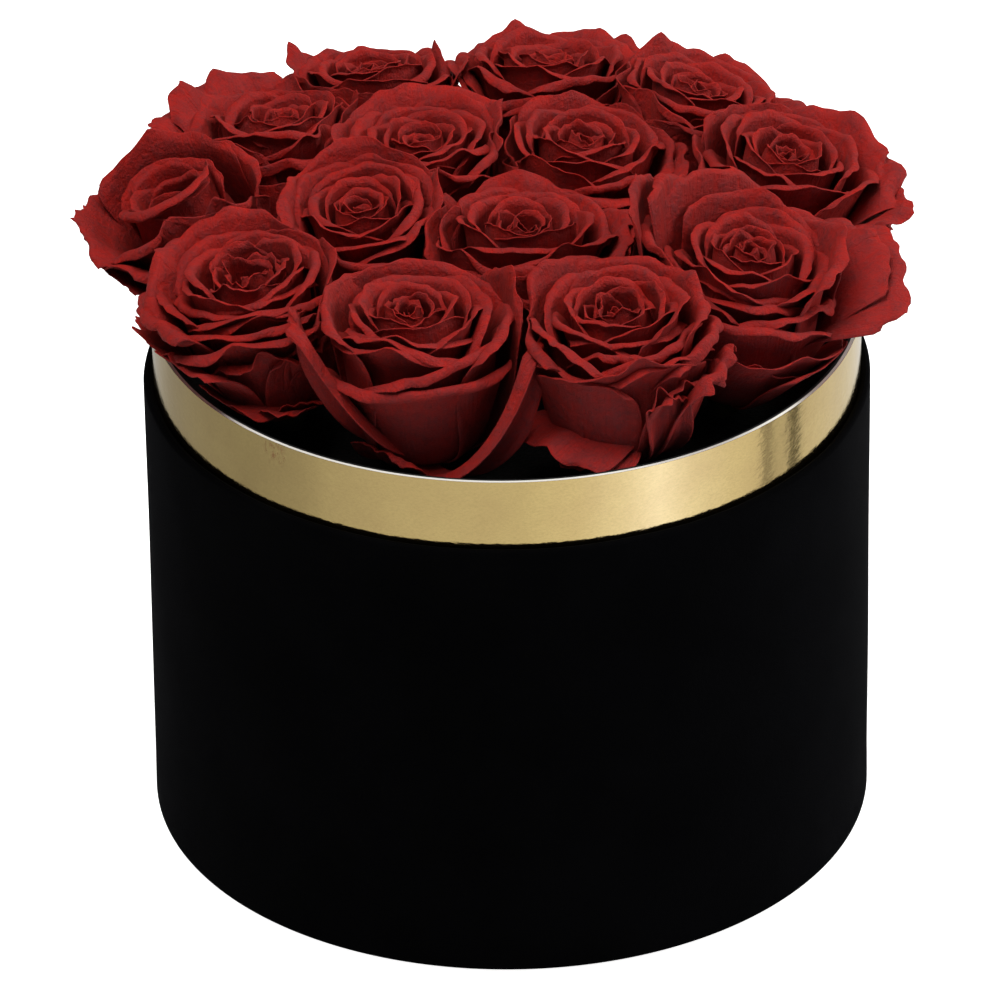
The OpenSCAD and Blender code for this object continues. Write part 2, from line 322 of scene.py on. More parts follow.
boxFinish = {
    "base_paper": "paper", "velvet_wrap": "velvet", "outer_tube": "greyBoard", "base_board": "greyBoard",
    "neck_tube": "neckBoard", "gold_foil_band": "gold", "neck_lining": "paper", "floor_lining": "paper",
    "foam_lower_left": "foam", "foam_lower_right": "foam", "foam_upper_front": "foam",
    "foam_upper_back": "foam",
}


def dress(thing, finish):
    thing.data.materials.clear()
    thing.data.materials.append(finishes[finish])


for node, finish in boxFinish.items():
    dress(frame["nodes"][node], finish)


coverLook = {
    "steps": 300,            # round the box
    "thick": 0.60,           # mm
    "hem": 12.0,             # turned in under the base
    "turnIn": 14.0,          # carried down behind the rim
    "rimRound": 1.45,        # radius of the padded rim
    "wobble": 0.16,          # how far the cloth stands in and out over the board
    "waves": 14,
    "seamDip": 0.35,         # where its two ends meet at the back
    "dipWidth": 1.4,
    "seamGap": 0.03,
}


def coverLine():
    # the cloth's outer face, from the hem's edge round the foot, up the wall, over the rim and down inside
    low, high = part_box("velvet_wrap")
    look = coverLook
    outR, inR = high.x / mm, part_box("outer_tube")[1].x / mm - 1.6 - look["thick"]
    top, foot, rim = high.z / mm, low.z / mm, look["rimRound"]
    line = [(outR - look["hem"], foot), (outR - 6, foot), (outR - 2, foot)]
    quarter = np.radians(np.arange(0, 91, 15))
    line += [(outR - 1 + math.sin(a), foot + 1 - math.cos(a)) for a in quarter]
    line += [(outR, z) for z in np.linspace(foot + 4, top - rim - 3, 30)]
    line += [(outR - rim + rim * math.cos(a), top - rim + rim * math.sin(a)) for a in quarter]
    line += [(inR + rim - rim * math.sin(a), top - rim + rim * math.cos(a)) for a in quarter]
    line += [(inR, z) for z in np.linspace(top - rim - 3, top - look["turnIn"], 5)]
    return np.array(line)


def ripples(rng, waves):
    # a smooth wavering along the wall and round it, between about -1 and 1
    made = [(rng.integers(2, 23), rng.uniform(0.01, 0.09), rng.uniform(0, fullTurn), rng.uniform(0.3, 1))
            for _ in range(waves)]
    total = sum(m[3] for m in made) / 2
    return lambda a, z: sum(g * np.sin(n * a + z * f + p) for n, f, p, g in made) / total


def wrapBox():
    look, line = coverLook, coverLine()
    gap = look["seamGap"] / line[:, 0].max()
    angles = np.linspace(math.pi / 2 + gap, math.pi * 2.5 - gap, look["steps"])
    angles = angles[None, :]
    slope = np.gradient(line, axis=0)
    out = np.stack([slope[:, 1], -slope[:, 0]], axis=-1)
    out /= np.linalg.norm(out, axis=-1, keepdims=True)
    inner = line - out * look["thick"]
    rng = np.random.default_rng(7)
    wave = ripples(rng, look["waves"])
    shells = []
    for skin in (line, inner):
        r, z = skin[:, :1], skin[:, 1:]
        onWall = eased((line[:, 1:] - 4) / 12) * (line[:, :1] > line[:, 0].max() - 3)
        fromSeam = np.minimum(angles - angles[0, 0], angles[0, -1] - angles) * line[:, 0].max()
        dip = look["seamDip"] * np.exp(-(fromSeam / look["dipWidth"]) ** 2)
        shift = onWall * (look["wobble"] * wave(angles, z) - dip)
        if skin is inner:
            shift = np.maximum(shift, 0) * onWall
        else:
            shift = shift - onWall * look["wobble"]
        radius = r + shift
        high = z + 0.12 * wave(angles, z * 0 + 40) * eased((z - 120) / 20)
        shells.append(np.stack([radius * np.cos(angles), radius * np.sin(angles), high + 0 * angles], axis=-1))
    return closedSheet(shells[0] * mm, shells[1] * mm)


def closedSheet(outside, inside):
    # two skins of the same grid, joined along all four edges
    nu, nv = outside.shape[:2]
    ids = np.arange(nu * nv).reshape(nu, nv)
    quads = np.stack([ids[:-1, :-1], ids[:-1, 1:], ids[1:, 1:], ids[1:, :-1]], axis=-1).reshape(-1, 4)
    ring = np.concatenate([ids[0, :], ids[1:, -1], ids[-1, -2::-1], ids[-2:0:-1, 0]])
    after = np.roll(ring, -1)
    edge = np.stack([after, ring, ring + nu * nv, after + nu * nv], axis=-1)
    points = np.concatenate([outside.reshape(-1, 3), inside.reshape(-1, 3)])
    faces = np.concatenate([quads, quads[:, ::-1] + nu * nv, edge])
    return points, faces, np.zeros((2 * nu * nv, 2))


roseBase = {
    "petals": 26,
    "heartPetals": 8,
    "heartGrid": (21, 22),    # points across a petal, and from its foot to its rim
    "petalGrid": (27, 24),
    "thick": (0.7, 0.34),     # mm, at the foot and at the rim
    "seedStep": 11,
    "golden": 137.5,          # degrees from one petal to the next
    "rimOut": (1.0, 30.0),    # how far from the stem line the rims stand, the heart's to the outermost
    "rimUp": (47.0, 39.5),    # and how high above the seat
    "crown": 2.6,             # what the petals half way out rise above that
    "footOut": (0.8, 6.5),
    "footUp": (5.0, 0.4),
    "lowOut": (12.0, 84.0),   # degrees from upright at the foot, and at the rim before it rolls
    "topOut": (-20.0, 56.0),
    "belly": 0.40,
    "halfWidth": (10.5, 25.0),
    "flat": (1.0, 1.10),      # above 1 a petal's sides stand off the ring
    "roll": (25.0, 165.0),    # how far the rim turns over
    "rollLength": (1.4, 4.4),
    "tip": 2.2,
    "drop": 0.10,             # how much lower the sides are than the middle
    "ruffle": (0.35, 0.95),
    "crinkle": (0.04, 0.12),
    "curl": (0.0, 0.8),       # how far the side edges turn out
    "rollRows": 9,            # rows of points in the rolled rim
    "rollFrom": 0.84,         # how far up a petal it begins
    "leastBow": 2.6,          # mm, the tightest a petal bows round the stem line
    "mostWrap": 120,          # degrees that it may wrap to each side
    "sideEdge": (0.70, 0.30), # where across a petal its side edge begins, and its width
    "waves": (1.6, 2.9, 4.7, 7.5),
    "fineWaves": (13, 19, 27),
    "dents": ((2.2, 4.0), (3.7, 6.5), (5.5, 3.0)),   # across a petal, and up it
    "dentDepth": (0.14, 0.62),                       # mm, in the heart, and what the outside adds
    "pleats": (9, 14, 21),
    "pleatDepth": 0.22,       # of the dents'
    "fresh": (0.38, 0.32, 0.2),  # how much of the painted shade at the foot the back, the low and the other petals lack
    "turnSpread": 9,          # degrees that a petal strays from its place in the whorl
    "heartShare": 0.4,        # how much of the whorl the heart's habits reach
    "outerShare": 0.97,       # the outer petals' place, from the heart, 0, to the outside, 1
    "leanFrom": 48,           # mm up at which a bloom's drift is full
    "gap": 0.3,               # mm between two blooms
    "bend": 1.6,              # how far the meeting of two blooms wanders
    "flare": 46.0,            # degrees that the wall over the neck's edge leans out
    "squeeze": 1.5,           # mm over which a petal gives way
    "nest": 4.0,              # how much further in the heart's petals keep
    "reach": 90,              # mm within which another bloom counts as a neighbour
}

# what sets each rose apart. turn: where its whorl starts; whorl: how many petals lie in it; heart: how much
# wider, lower and more ragged its heart is; open: how wide it stands; cup: how far the outer rims rise all
# round, mm; rise: which way they rise most, and by how much; drift: how far it leans off its stem, right and back
roseHabits = {
    "rose_01": dict(turn=20, whorl=19, heart=(2.2, 1.5, 3.4), open=1.12, cup=2, rise=(150, 3), drift=(1, -1)),
    "rose_02": dict(turn=95, whorl=17, heart=(1.2, 0.5, 1.6), open=1.04, cup=0, rise=(110, 0), drift=(-3, 0)),
    "rose_03": dict(turn=300, whorl=16, heart=(1.6, 1.5, 1.8), open=1.02, cup=3, rise=(60, 3), drift=(-1, 0)),
    "rose_04": dict(turn=340, whorl=17, heart=(1.0, 0.5, 1.4), open=1.06, cup=2, rise=(50, 3), drift=(-3, 0)),
    "rose_05": dict(turn=0, whorl=11, heart=(1.5, 13.0, 0.5), open=0.9, cup=3, rise=(85, 3), drift=(-3, -7)),
    "rose_06": dict(turn=50, whorl=22, heart=(0.3, 0, 0.8), open=0.92, cup=6, rise=(95, 6), drift=(0, 0)),
    "rose_07": dict(turn=210, whorl=24, heart=(1.4, 0.5, 1.6), open=1.22, cup=2, rise=(-90, 3), drift=(0, 0)),
    "rose_08": dict(turn=15, whorl=23, heart=(1.0, 0.5, 1.4), open=1.1, cup=3, rise=(50, 7), drift=(-2, -1)),
    "rose_09": dict(turn=60, whorl=23, heart=(1.2, 0.5, 1.4), open=1.06, cup=4, rise=(175, 6), drift=(5, 0)),
    "rose_10": dict(turn=130, whorl=23, heart=(0.4, 0, 1.0), open=1.0, cup=7, rise=(90, 3), drift=(0, 0)),
    "rose_11": dict(turn=10, whorl=24, heart=(1.0, 0.5, 1.2), open=1.14, cup=3, rise=(90, 3), drift=(-1, 0)),
    "rose_12": dict(turn=80, whorl=23, heart=(0.8, 0, 1.2), open=1.06, cup=4, rise=(105, 6), drift=(-1, -1)),
    "rose_13": dict(turn=250, whorl=23, heart=(0.5, 0, 1.0), open=1.08, cup=0, rise=(150, 3), drift=(-1, -2)),
    "rose_14": dict(turn=180, whorl=23, heart=(0.6, 0, 1.0), open=1.08, cup=3, rise=(95, 5), drift=(1, -1)),
}


def petalAt(toward, rim, halfWidth, topOut, roll, **more):
    # toward: the way it faces, 0 to the box's right and -90 to its front
    # rim: where the middle of its rim stands, mm out from the stem line and up from the seat
    # each petal's share of the foot's painted shade taken away, by where it faces and how low it stands
    back, low, other = roseBase["fresh"]
    fresh = back if 55 <= toward <= 130 else low if rim[1] <= 41 else other
    return {"toward": toward, "rim": rim, "halfWidth": halfWidth, "topOut": topOut, "roll": roll,
            "fresh": fresh} | more


outerPetals = {
    "rose_01": [
        petalAt(95, (25, 52), 27, 22, 70, flat=1.15, ruffle=1.1),
        petalAt(12, (24, 43), 24, 12, 50, flat=1.2, tip=3),
        petalAt(160, (28, 52), 22, 34, 150, rollLength=4),
        petalAt(-160, (31, 47), 20, 44, 160, rollLength=5),
        petalAt(-80, (17, 46.2), 24, 40, 130, rollLength=2.6, flat=1.0),
        petalAt(-118, (20.5, 45.6), 26, 44, 140, rollLength=2.8, flat=1.0),
        petalAt(-75, (23.5, 44), 27, 46, 140, rollLength=2.8, flat=1.0),
        petalAt(-110, (27.5, 42.2), 30, 50, 140, rollLength=3.2, flat=1.0),
        petalAt(-92, (30.5, 39.5), 27, 52, 130, rollLength=3.6, flat=1.05),
        petalAt(-32, (27, 38), 18, 34, 130, rollLength=3.6),
        petalAt(-140, (33, 33), 18, 60, 50, rollLength=4, ruffle=2.2, crinkle=0.3, fresh=0.45, dusty=True),
        petalAt(-172, (35, 35), 17, 66, 60, ruffle=2.4, crinkle=0.35, dusty=True),
        petalAt(-88, (26, 31), 17, 34, 80, tip=4, ruffle=2.0, crinkle=0.3, fresh=0.45, dusty=True),
        petalAt(-62, (25, 29), 13, 24, 120, rollLength=4, twist=20, ruffle=1.4, fresh=0.45, dusty=True),
        petalAt(-35, (21, 22), 14, 20, 60, ruffle=1.2, fresh=0.4, dusty=True),
        petalAt(-104, (27, 13), 18, 52, 40, lowOut=55, ruffle=2.2, crinkle=0.35, past=1, fresh=0.5, dusty=True),
        petalAt(-128, (29.5, 16), 17, 72, 30, lowOut=40, belly=0.5, ruffle=2.4, crinkle=0.4, past=1, fresh=0.5,
                dusty=True),
        petalAt(-82, (24, 12), 13, 40, 60, lowOut=60, ruffle=1.8, crinkle=0.3, fresh=0.5, dusty=True),
    ],
    "rose_02": [
        petalAt(92, (24, 47.5), 31, 12, 50, rollLength=3, flat=1.4, tip=0.5, ruffle=0.7),
        petalAt(172, (25, 50.5), 26, 22, 130, rollLength=3.5, flat=1.1),
        petalAt(22, (31, 50.5), 18, 14, 30, rollLength=3, flat=1.1, tip=5, past=4),
        petalAt(-95, (18.5, 46.5), 25, 36, 140, rollLength=2.8, flat=1.0),
        petalAt(-118, (22.5, 44.8), 29, 42, 150, rollLength=3.4, flat=1.0),
        petalAt(-60, (25, 41.5), 30, 36, 140, rollLength=3.4, flat=1.0, skew=4),
        petalAt(-12, (27.5, 46), 20, 30, 150, rollLength=4, flat=1.0),
        petalAt(-92, (27.3, 35.5), 37, 34, 165, rollLength=4.6, lowOut=80, flat=1.0, drop=0.06, skew=1.5, ruffle=0.8,
                fresh=0.2),
        petalAt(-147, (34, 48), 9.5, 14, 120, rollLength=3, lowOut=50, flat=0.75, drop=0.06, twist=-54, curl=4.5,
                ruffle=0.9, past=6, fresh=0.66),
        petalAt(-48, (37, 41), 7.5, 8, 120, rollLength=3, lowOut=90, belly=0.48, flat=0.8, drop=0.08, twist=75,
                curl=4.5, ruffle=2.0, crinkle=0.25, past=9, fresh=0.6),
        petalAt(-119, (21.5, 10), 11, 22, 100, rollLength=3, lowOut=84, curl=2.4, ruffle=0.8, past=5, fresh=0.62,
                dusty=True),
    ],
    "rose_03": [
        petalAt(80, (24, 50), 28, 18, 70, rollLength=3, flat=1.15),
        petalAt(135, (26, 51), 21, 26, 110, rollLength=3.4),
        petalAt(20, (24, 49), 24, 20, 110, rollLength=3.6),
        petalAt(-62, (17.5, 46), 25, 40, 140, rollLength=2.8, flat=1.0),
        petalAt(-140, (24.5, 46.5), 18, 34, 120, rollLength=3.4, flat=1.0, skew=-2),
        petalAt(-98, (20, 43.5), 13, 30, 130, rollLength=3, flat=1.0),
        petalAt(-55, (22.5, 44.5), 24, 42, 140, rollLength=3, flat=1.0, skew=3),
        petalAt(-20, (28, 44), 20, 44, 130, rollLength=4),
        petalAt(-48, (26, 41), 22, 42, 140, rollLength=3.4, flat=1.0),
        petalAt(-128, (27, 38.5), 22, 26, 90, rollLength=3, lowOut=80, flat=1.0, ruffle=0.7, fresh=0.3, dusty=True),
        petalAt(-86, (28, 40.5), 30, 26, 40, rollLength=3, lowOut=80, flat=1.0, tip=4.5, skew=1, ruffle=1.0,
                fresh=0.3, dusty=True),
        petalAt(-22, (33, 37), 16, 40, 120, rollLength=4, ruffle=2.2, crinkle=0.25),
        petalAt(-42, (29, 34), 15, 30, 110, rollLength=4, ruffle=2.4, crinkle=0.3, dusty=True),
        petalAt(-52, (27, 30), 8, 10, 90, lowOut=80, twist=-20, curl=3, ruffle=1.4, dusty=True),
        petalAt(-130, (31.5, 14), 19, 104, 20, rollLength=2, lowOut=30, belly=0.5, ruffle=1.0, past=6, dusty=True),
        petalAt(-104, (29, 11), 11, 96, 30, rollLength=2, lowOut=30, belly=0.5, ruffle=1.4, past=5, dusty=True),
        petalAt(-165, (28, 45), 19, 34, 140, rollLength=4),
    ],
    "rose_04": [
        petalAt(88, (22, 53), 25, 14, 60, rollLength=3, flat=1.1),
        petalAt(120, (28, 58), 20, 22, 100, rollLength=3.4, past=3),
        petalAt(165, (37, 58), 17, 20, 60, rollLength=3.4, flat=1.0, curl=2, past=8),
        petalAt(150, (31, 58.5), 14, 24, 90, rollLength=3.4, flat=1.0, curl=1.5, past=5),
        petalAt(180, (31, 48), 18, 34, 120, rollLength=4, past=5),
        petalAt(-150, (24, 42), 22, 34, 130, rollLength=3.4, flat=1.0),
        petalAt(50, (26, 50), 24, 16, 70, rollLength=3.4, flat=1.1),
        petalAt(8, (25, 53.5), 25, 22, 110, rollLength=4, flat=1.05),
        petalAt(-88, (17, 42), 24, 38, 140, rollLength=2.8, flat=1.0),
        petalAt(-62, (20.5, 41), 27, 42, 140, rollLength=3, flat=1.0),
        petalAt(-45, (24, 39.5), 27, 44, 150, rollLength=3.6, flat=1.0),
        petalAt(-98, (26.5, 36.5), 33, 30, 120, rollLength=3.2, lowOut=78, flat=1.0),
        petalAt(8, (44.5, 43.5), 24, 70, 30, rollLength=4, lowOut=40, belly=0.5, flat=0.85, drop=0.03, skew=6,
                slant=5, ruffle=1.3, crinkle=0.2, past=10),
        petalAt(26, (40, 48.5), 20, 60, 50, rollLength=3, lowOut=40, belly=0.5, ruffle=1.0, past=8),
        petalAt(-60, (31, 27), 31, 42, 15, rollLength=2, lowOut=80, flat=1.0, ruffle=0.8, fresh=0.3, dusty=True),
        petalAt(-92, (28, 22), 24, 40, 15, rollLength=2, flat=1.0, ruffle=1.0, fresh=0.3, dusty=True),
        petalAt(-30, (33, 24), 22, 46, 20, rollLength=2, flat=1.0, ruffle=1.0, fresh=0.3, dusty=True),
    ],
    "rose_05": [
        petalAt(86, (20.5, 54), 26, 14, 20, rollLength=3, flat=1.15, tip=5, ruffle=0.5, fresh=0.5),
        petalAt(40, (25, 48), 24, 22, 60, rollLength=3, flat=1.2, ruffle=0.8, fresh=0.45),
        petalAt(150, (27, 46), 22, 40, 90, ruffle=1.4),
        petalAt(-165, (29, 47), 18, 40, 140, rollLength=4, ruffle=2.6, crinkle=0.4, fresh=0.32),
        petalAt(-92, (27, 46), 26, 44, 150, rollLength=5, skew=2),
        petalAt(-45, (27, 44), 20, 34, 120, rollLength=5, tip=5),
        petalAt(-130, (31, 38), 22, 54, 80, ruffle=1.6, crinkle=0.3),
        petalAt(-80, (30, 34), 22, 52, 90, ruffle=1.4, crinkle=0.2),
        petalAt(174, (32, 43), 19, 50, 120, rollLength=4, ruffle=2.6, crinkle=0.45, fresh=0.32),
        petalAt(-152, (33, 33), 18, 56, 110, rollLength=4, ruffle=2.8, crinkle=0.45, fresh=0.4),
        petalAt(-84, (11.0, 50), 26, 6, 120, rollLength=4.6, flat=1.2, tip=0.5, skew=3.5, ruffle=0.4, fresh=0.4),
        petalAt(78, (13, 49.5), 22, 18, 30, rollLength=3, flat=1.25, tip=2, ruffle=0.5, fresh=0.55),
    ],
    "rose_06": [
        petalAt(95, (22, 57), 27, 14, 40, rollLength=3, flat=1.15, ruffle=0.7),
        petalAt(165, (21, 54), 20, 20, 60, rollLength=3, tip=2, past=2),
        petalAt(25, (23, 50), 20, 28, 100),
        petalAt(-150, (26, 38), 16, 34, 100, curl=2.4, past=4),
    ],
    "rose_07": [
        petalAt(90, (24.5, 46.5), 27, 40, 50, flat=1.1, tip=3),
        petalAt(170, (30, 49), 19, 46, 110, ruffle=1.5, past=3),
        petalAt(-88, (27, 46), 28, 40, 150, rollLength=5, tip=3, ruffle=1.4),
        petalAt(-100, (30, 38), 24, 46, 110, rollLength=4, ruffle=1.2),
        petalAt(-5, (31, 45), 20, 44, 110, ruffle=1.8, crinkle=0.25, past=3),
    ],
    "rose_08": [
        petalAt(118, (25, 50), 24, 28, 60, flat=1.2),
        petalAt(60, (27, 53), 23, 34, 60, flat=1.15, ruffle=1.2),
        petalAt(12, (31, 50), 22, 48, 80, ruffle=1.8, crinkle=0.3),
        petalAt(-15, (36, 46), 20, 58, 80, ruffle=2.2, crinkle=0.35),
        petalAt(-42, (33, 40), 22, 58, 100, ruffle=1.5, crinkle=0.25),
        petalAt(-78, (28, 36), 24, 54, 110, ruffle=1.2),
    ],
    "rose_09": [
        petalAt(72, (25, 48), 24, 36, 60, flat=1.2, ruffle=1.3),
        petalAt(128, (29, 55), 20, 38, 60, tip=3, ruffle=1.6, past=5),
        petalAt(168, (34, 54.5), 16, 50, 60, ruffle=2.6, crinkle=0.35, past=9),
        petalAt(-168, (34, 48), 16, 56, 70, ruffle=2.6, crinkle=0.35, past=9),
        petalAt(-95, (26, 42), 26, 50, 130, rollLength=4.6),
        petalAt(-120, (31, 34), 22, 58, 90, ruffle=1.6),
        petalAt(15, (27, 44), 16, 34, 80, tip=4),
        petalAt(152, (29, 57), 16, 36, 50, tip=3, ruffle=2.0, past=8),
    ],
    "rose_10": [
        petalAt(92, (23, 53), 27, 26, 50, flat=1.2, ruffle=0.8),
        petalAt(160, (25, 51), 20, 40, 100),
        petalAt(20, (26, 52), 20, 40, 90, tip=3, past=1),
    ],
    "rose_11": [
        petalAt(95, (25, 48), 27, 40, 50, flat=1.2, ruffle=1.2),
        petalAt(-90, (26, 40), 28, 48, 140, rollLength=5, flat=1.1),
        petalAt(0, (31, 46), 19, 50, 90, ruffle=1.6, past=2),
        petalAt(-110, (30, 34), 22, 52, 80, ruffle=1.4),
    ],
    "rose_12": [
        petalAt(112, (24, 53), 21, 22, 30, rollLength=3, flat=1.15, tip=4.5),
        petalAt(70, (26, 51), 21, 34, 60, rollLength=3, tip=3),
        petalAt(20, (30, 46), 20, 50, 80, ruffle=2.0, crinkle=0.3),
        petalAt(165, (26, 49), 19, 36, 90),
        petalAt(-20, (33, 38), 18, 60, 80, ruffle=2.0, crinkle=0.3),
    ],
    "rose_13": [
        petalAt(158, (23, 51), 13, 26, 30, rollLength=3, tip=5),
        petalAt(102, (24, 45.5), 22, 34, 50, tip=2.5),
        petalAt(28, (22, 47), 16, 26, 40, rollLength=3, tip=4),
        petalAt(-176, (28, 45), 18, 50, 90, ruffle=1.6),
        petalAt(-85, (25, 39), 25, 46, 110),
        petalAt(8, (29, 45.5), 17, 36, 60, ruffle=1.2, past=5),
    ],
    "rose_14": [
        petalAt(122, (24, 50), 20, 26, 40, rollLength=3, tip=4.5),
        petalAt(62, (24, 50), 22, 30, 50, tip=2.5),
        petalAt(170, (26, 46), 19, 40, 90, past=2),
        petalAt(10, (26, 45), 19, 44, 90, ruffle=1.6, past=1),
        petalAt(-88, (25, 38), 26, 46, 120),
        petalAt(-176, (29, 46), 16, 36, 60, ruffle=1.2, past=5),
    ],
}


def between(pair, share):
    return pair[0] + (pair[1] - pair[0]) * share


def eased(x):
    x = np.clip(x, 0, 1)
    return x * x * (3 - 2 * x)


def unit(v):
    return v / np.linalg.norm(v)


def meshPoints(thing):
    flat = np.empty(len(thing.data.vertices) * 3)
    thing.data.vertices.foreach_get("co", flat)
    return flat.reshape(-1, 3)


def roseAxes(body):
    # a rose's stem line is its joint's axis, its seat is the top of the hip, and it faces out of the box
    joint = next(j for j in frame["joints"] if j["child"] == body)
    up = unit(np.array(joint["axis"], float))
    points = meshPoints(frame["nodes"][body + "_stem"])
    reach = points @ up
    rim = points[reach > reach.max() - 0.05 * mm]
    seat = (rim.min(0) + rim.max(0)) / 2
    seat = seat + up * (reach.max() - seat @ up)
    heart = seat + up * ((meshPoints(frame["nodes"][body + "_heart"]) @ up).max() - seat @ up)
    away = np.array([heart[0], heart[1], 0])
    out = unit(away - (away @ up) * up)
    return {"seat": seat, "heart": heart, "axes": np.array([out, np.cross(up, out), up])}


roses = {body: roseAxes(body) for body in roseHabits}
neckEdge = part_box("neck_lining")[1]


def wallsRound(body):
    # planes that a bloom presses against: midway to each neighbour, and over the neck's edge
    midway, over = [], []
    me = roses[body]
    for name, other in roses.items():
        apart = other["heart"] - me["heart"]
        if name == body or np.linalg.norm(apart) > roseBase["reach"] * mm:
            continue
        along = unit(me["axes"][2] + other["axes"][2])
        normal = unit(apart - (apart @ along) * along)
        side = 1 if body < name else -1
        aside = np.cross(along, normal) * side
        low, high = sorted(int(rose[-2:]) for rose in (body, name))
        bends = np.random.default_rng(low * 100 + high).uniform(0, fullTurn, 2)   # both sides bend alike
        midway.append((normal, me["heart"] + apart / 2 - normal * roseBase["gap"] / 2 * mm, aside, side, bends))
    way = math.atan2(me["heart"][1], me["heart"][0])
    flare = math.radians(roseBase["flare"])
    for step in range(-4, 5):
        a = way + math.radians(8 * step)
        ray = np.array([math.cos(a), math.sin(a), 0])
        normal = ray * math.cos(flare) - np.array([0, 0, math.sin(flare)])
        at = ray * (neckEdge.x - roseBase["gap"] * mm) + [0, 0, neckEdge.z + 0.5 * mm]
        over.append((normal, at, ray, 0, (0, 0)))
    return midway, over


def petalValues(s, turn, habit, rng):
    # the measures of one petal, s from the heart, 0, to the outside, 1
    base = roseBase
    loose = 0.3 + s
    wide, low, ragged = habit["heart"]
    inner = max(1 - s / base["heartShare"], 0)
    out = between(base["rimOut"], s ** 0.92) * habit["open"] + rng.uniform(-0.8, 0.8) * loose + wide * inner
    up = between(base["rimUp"], s ** 2.4) + base["crown"] * math.sin(math.pi * s ** 0.9) + rng.uniform(-1, 1) * loose
    up += rng.uniform(-1, 1) * ragged * inner - low * inner
    up += habit["cup"] * s ** 1.5
    return {
        "turn": turn,
        "rim": (out, up),
        "foot": (between(base["footOut"], s), between(base["footUp"], s)),
        "lowOut": between(base["lowOut"], s ** 0.8),
        "topOut": between(base["topOut"], s ** 1.15) + rng.uniform(-9, 9) * loose,
        "belly": base["belly"],
        "halfWidth": between(base["halfWidth"], s ** 0.6) * rng.uniform(0.88, 1.1),
        "flat": between(base["flat"], s),
        "roll": between(base["roll"], s ** 0.6) * rng.uniform(0.5, 1.15),
        "rollLength": between(base["rollLength"], s) * rng.uniform(0.8, 1.3),
        "tip": base["tip"] * rng.uniform(0.0, 1.5) * (0.3 + 0.7 * s) + ragged * inner * 0.8,
        "drop": base["drop"] * rng.uniform(0.6, 1.4),
        "skew": rng.uniform(-1.6, 1.6) * loose,
        "ruffle": between(base["ruffle"], s ** 1.2) + ragged * inner * 0.5,
        "crinkle": between(base["crinkle"], s) + ragged * inner * 0.12,
        "curl": between(base["curl"], s),
        "dent": base["dentDepth"][0] + base["dentDepth"][1] * s,
        "past": 0.0,      # mm that it may reach over the walls
        "twist": 0.0,     # degrees that it turns from foot to rim
        "slant": 0.0,     # mm that one side stands further out
        "dusty": False,   # streaked with age
        # how much of the painted shade at the foot it lacks
        "fresh": base["fresh"][2],
    }


def petalLine(petal, steps):
    # the middle of a petal from its foot to where its rim starts to roll, as distance out and height up
    foot, rim = np.array(petal["foot"], float), np.array(petal["rim"], float)
    low, top = math.radians(petal["lowOut"]), math.radians(petal["topOut"])
    reach = np.linalg.norm(rim - foot) * petal["belly"]
    leave = foot + reach * np.array([math.sin(low), math.cos(low)])
    meet = rim - reach * np.array([math.sin(top), math.cos(top)])
    t = np.linspace(0, 1, steps)[:, None]
    return (1 - t) ** 3 * foot + 3 * (1 - t) ** 2 * t * leave + 3 * (1 - t) * t ** 2 * meet + t ** 3 * rim


